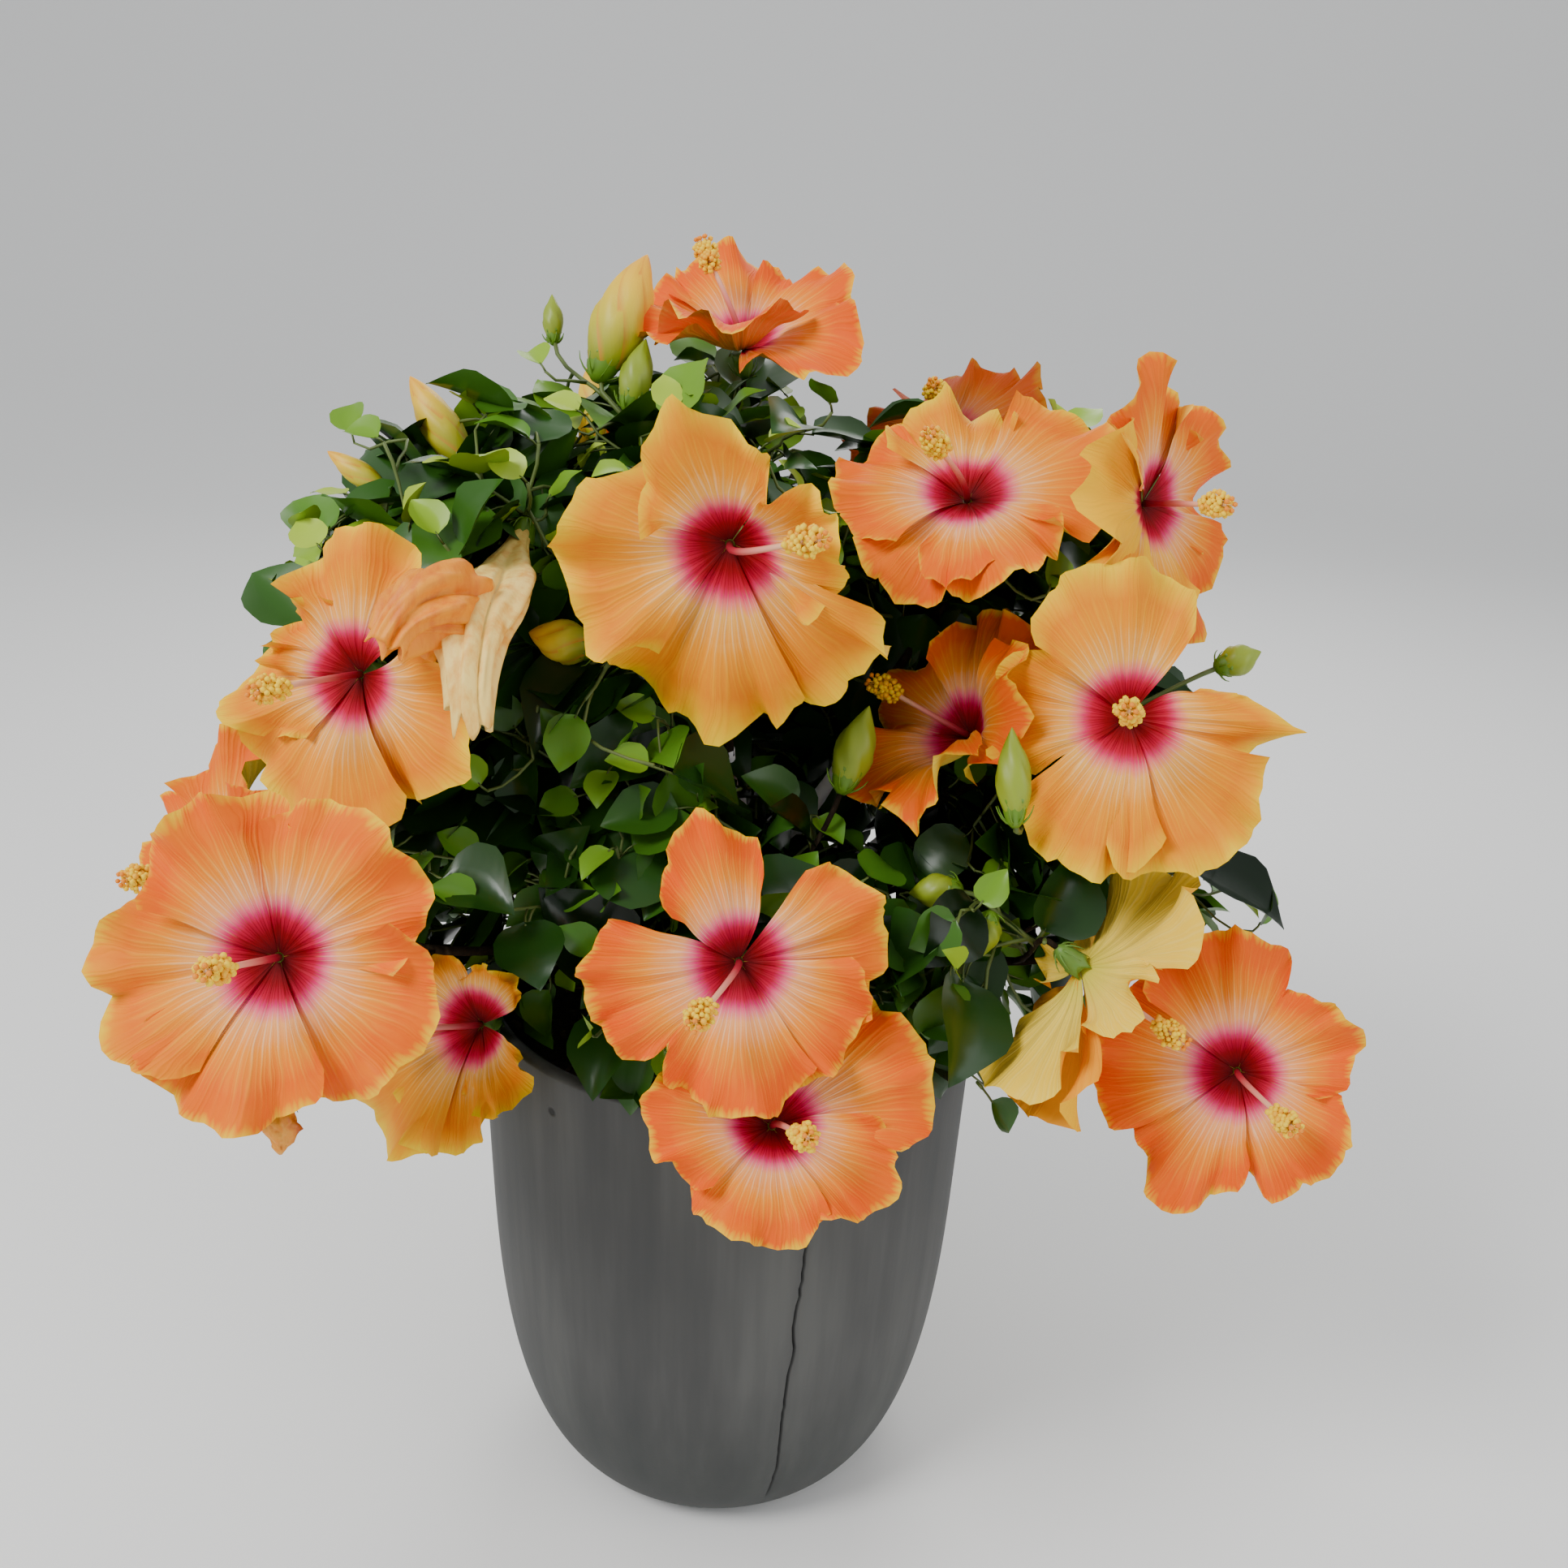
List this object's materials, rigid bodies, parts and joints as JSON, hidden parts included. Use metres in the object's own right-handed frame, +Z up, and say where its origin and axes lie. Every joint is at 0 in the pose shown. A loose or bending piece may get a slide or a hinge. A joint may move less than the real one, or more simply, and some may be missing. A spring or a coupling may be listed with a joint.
{
  "type": "potted hibiscus shrub",
  "caption": "Flowering hibiscus shrub in a tall round patio pot, with large ruffled blooms, buds, leafy twigs and a short branching stem.",
  "frame": {"origin": "middle of the pot's flat underside", "axes": "+Z up, -Y towards the best side with most blooms, +X to the right of someone who looks at that side"},
  "size_m": [0.8102, 0.7116, 0.9116],
  "materials": {
    "pot": "matt charcoal, streaked",
    "soil": "rough and damp",
    "bark": "fine grey-brown bark",
    "foliage": "glossy leaves, silky petals"
  },
  "bodies": {
    "root": {"pot": "pot", "soil": "soil", "main_stem": "bark", "bough_low_left": "bark", "bough_upper_left": "bark", "bough_top": "bark", "bough_upper_front": "bark", "bough_upper_right": "bark", "bough_right": "bark", "bough_low_front": "bark", "bough_low_right": "bark", "bough_back_left": "bark", "bough_back_right": "bark", "bough_back": "bark", "foliage_low_left": "foliage", "foliage_upper_left": "foliage", "foliage_top": "foliage", "foliage_upper_front": "foliage", "foliage_upper_right": "foliage", "foliage_right": "foliage", "foliage_low_front": "foliage", "foliage_low_right": "foliage", "foliage_back_left": "foliage", "foliage_back_right": "foliage", "foliage_back": "foliage"}
  },
  "joints": []
}
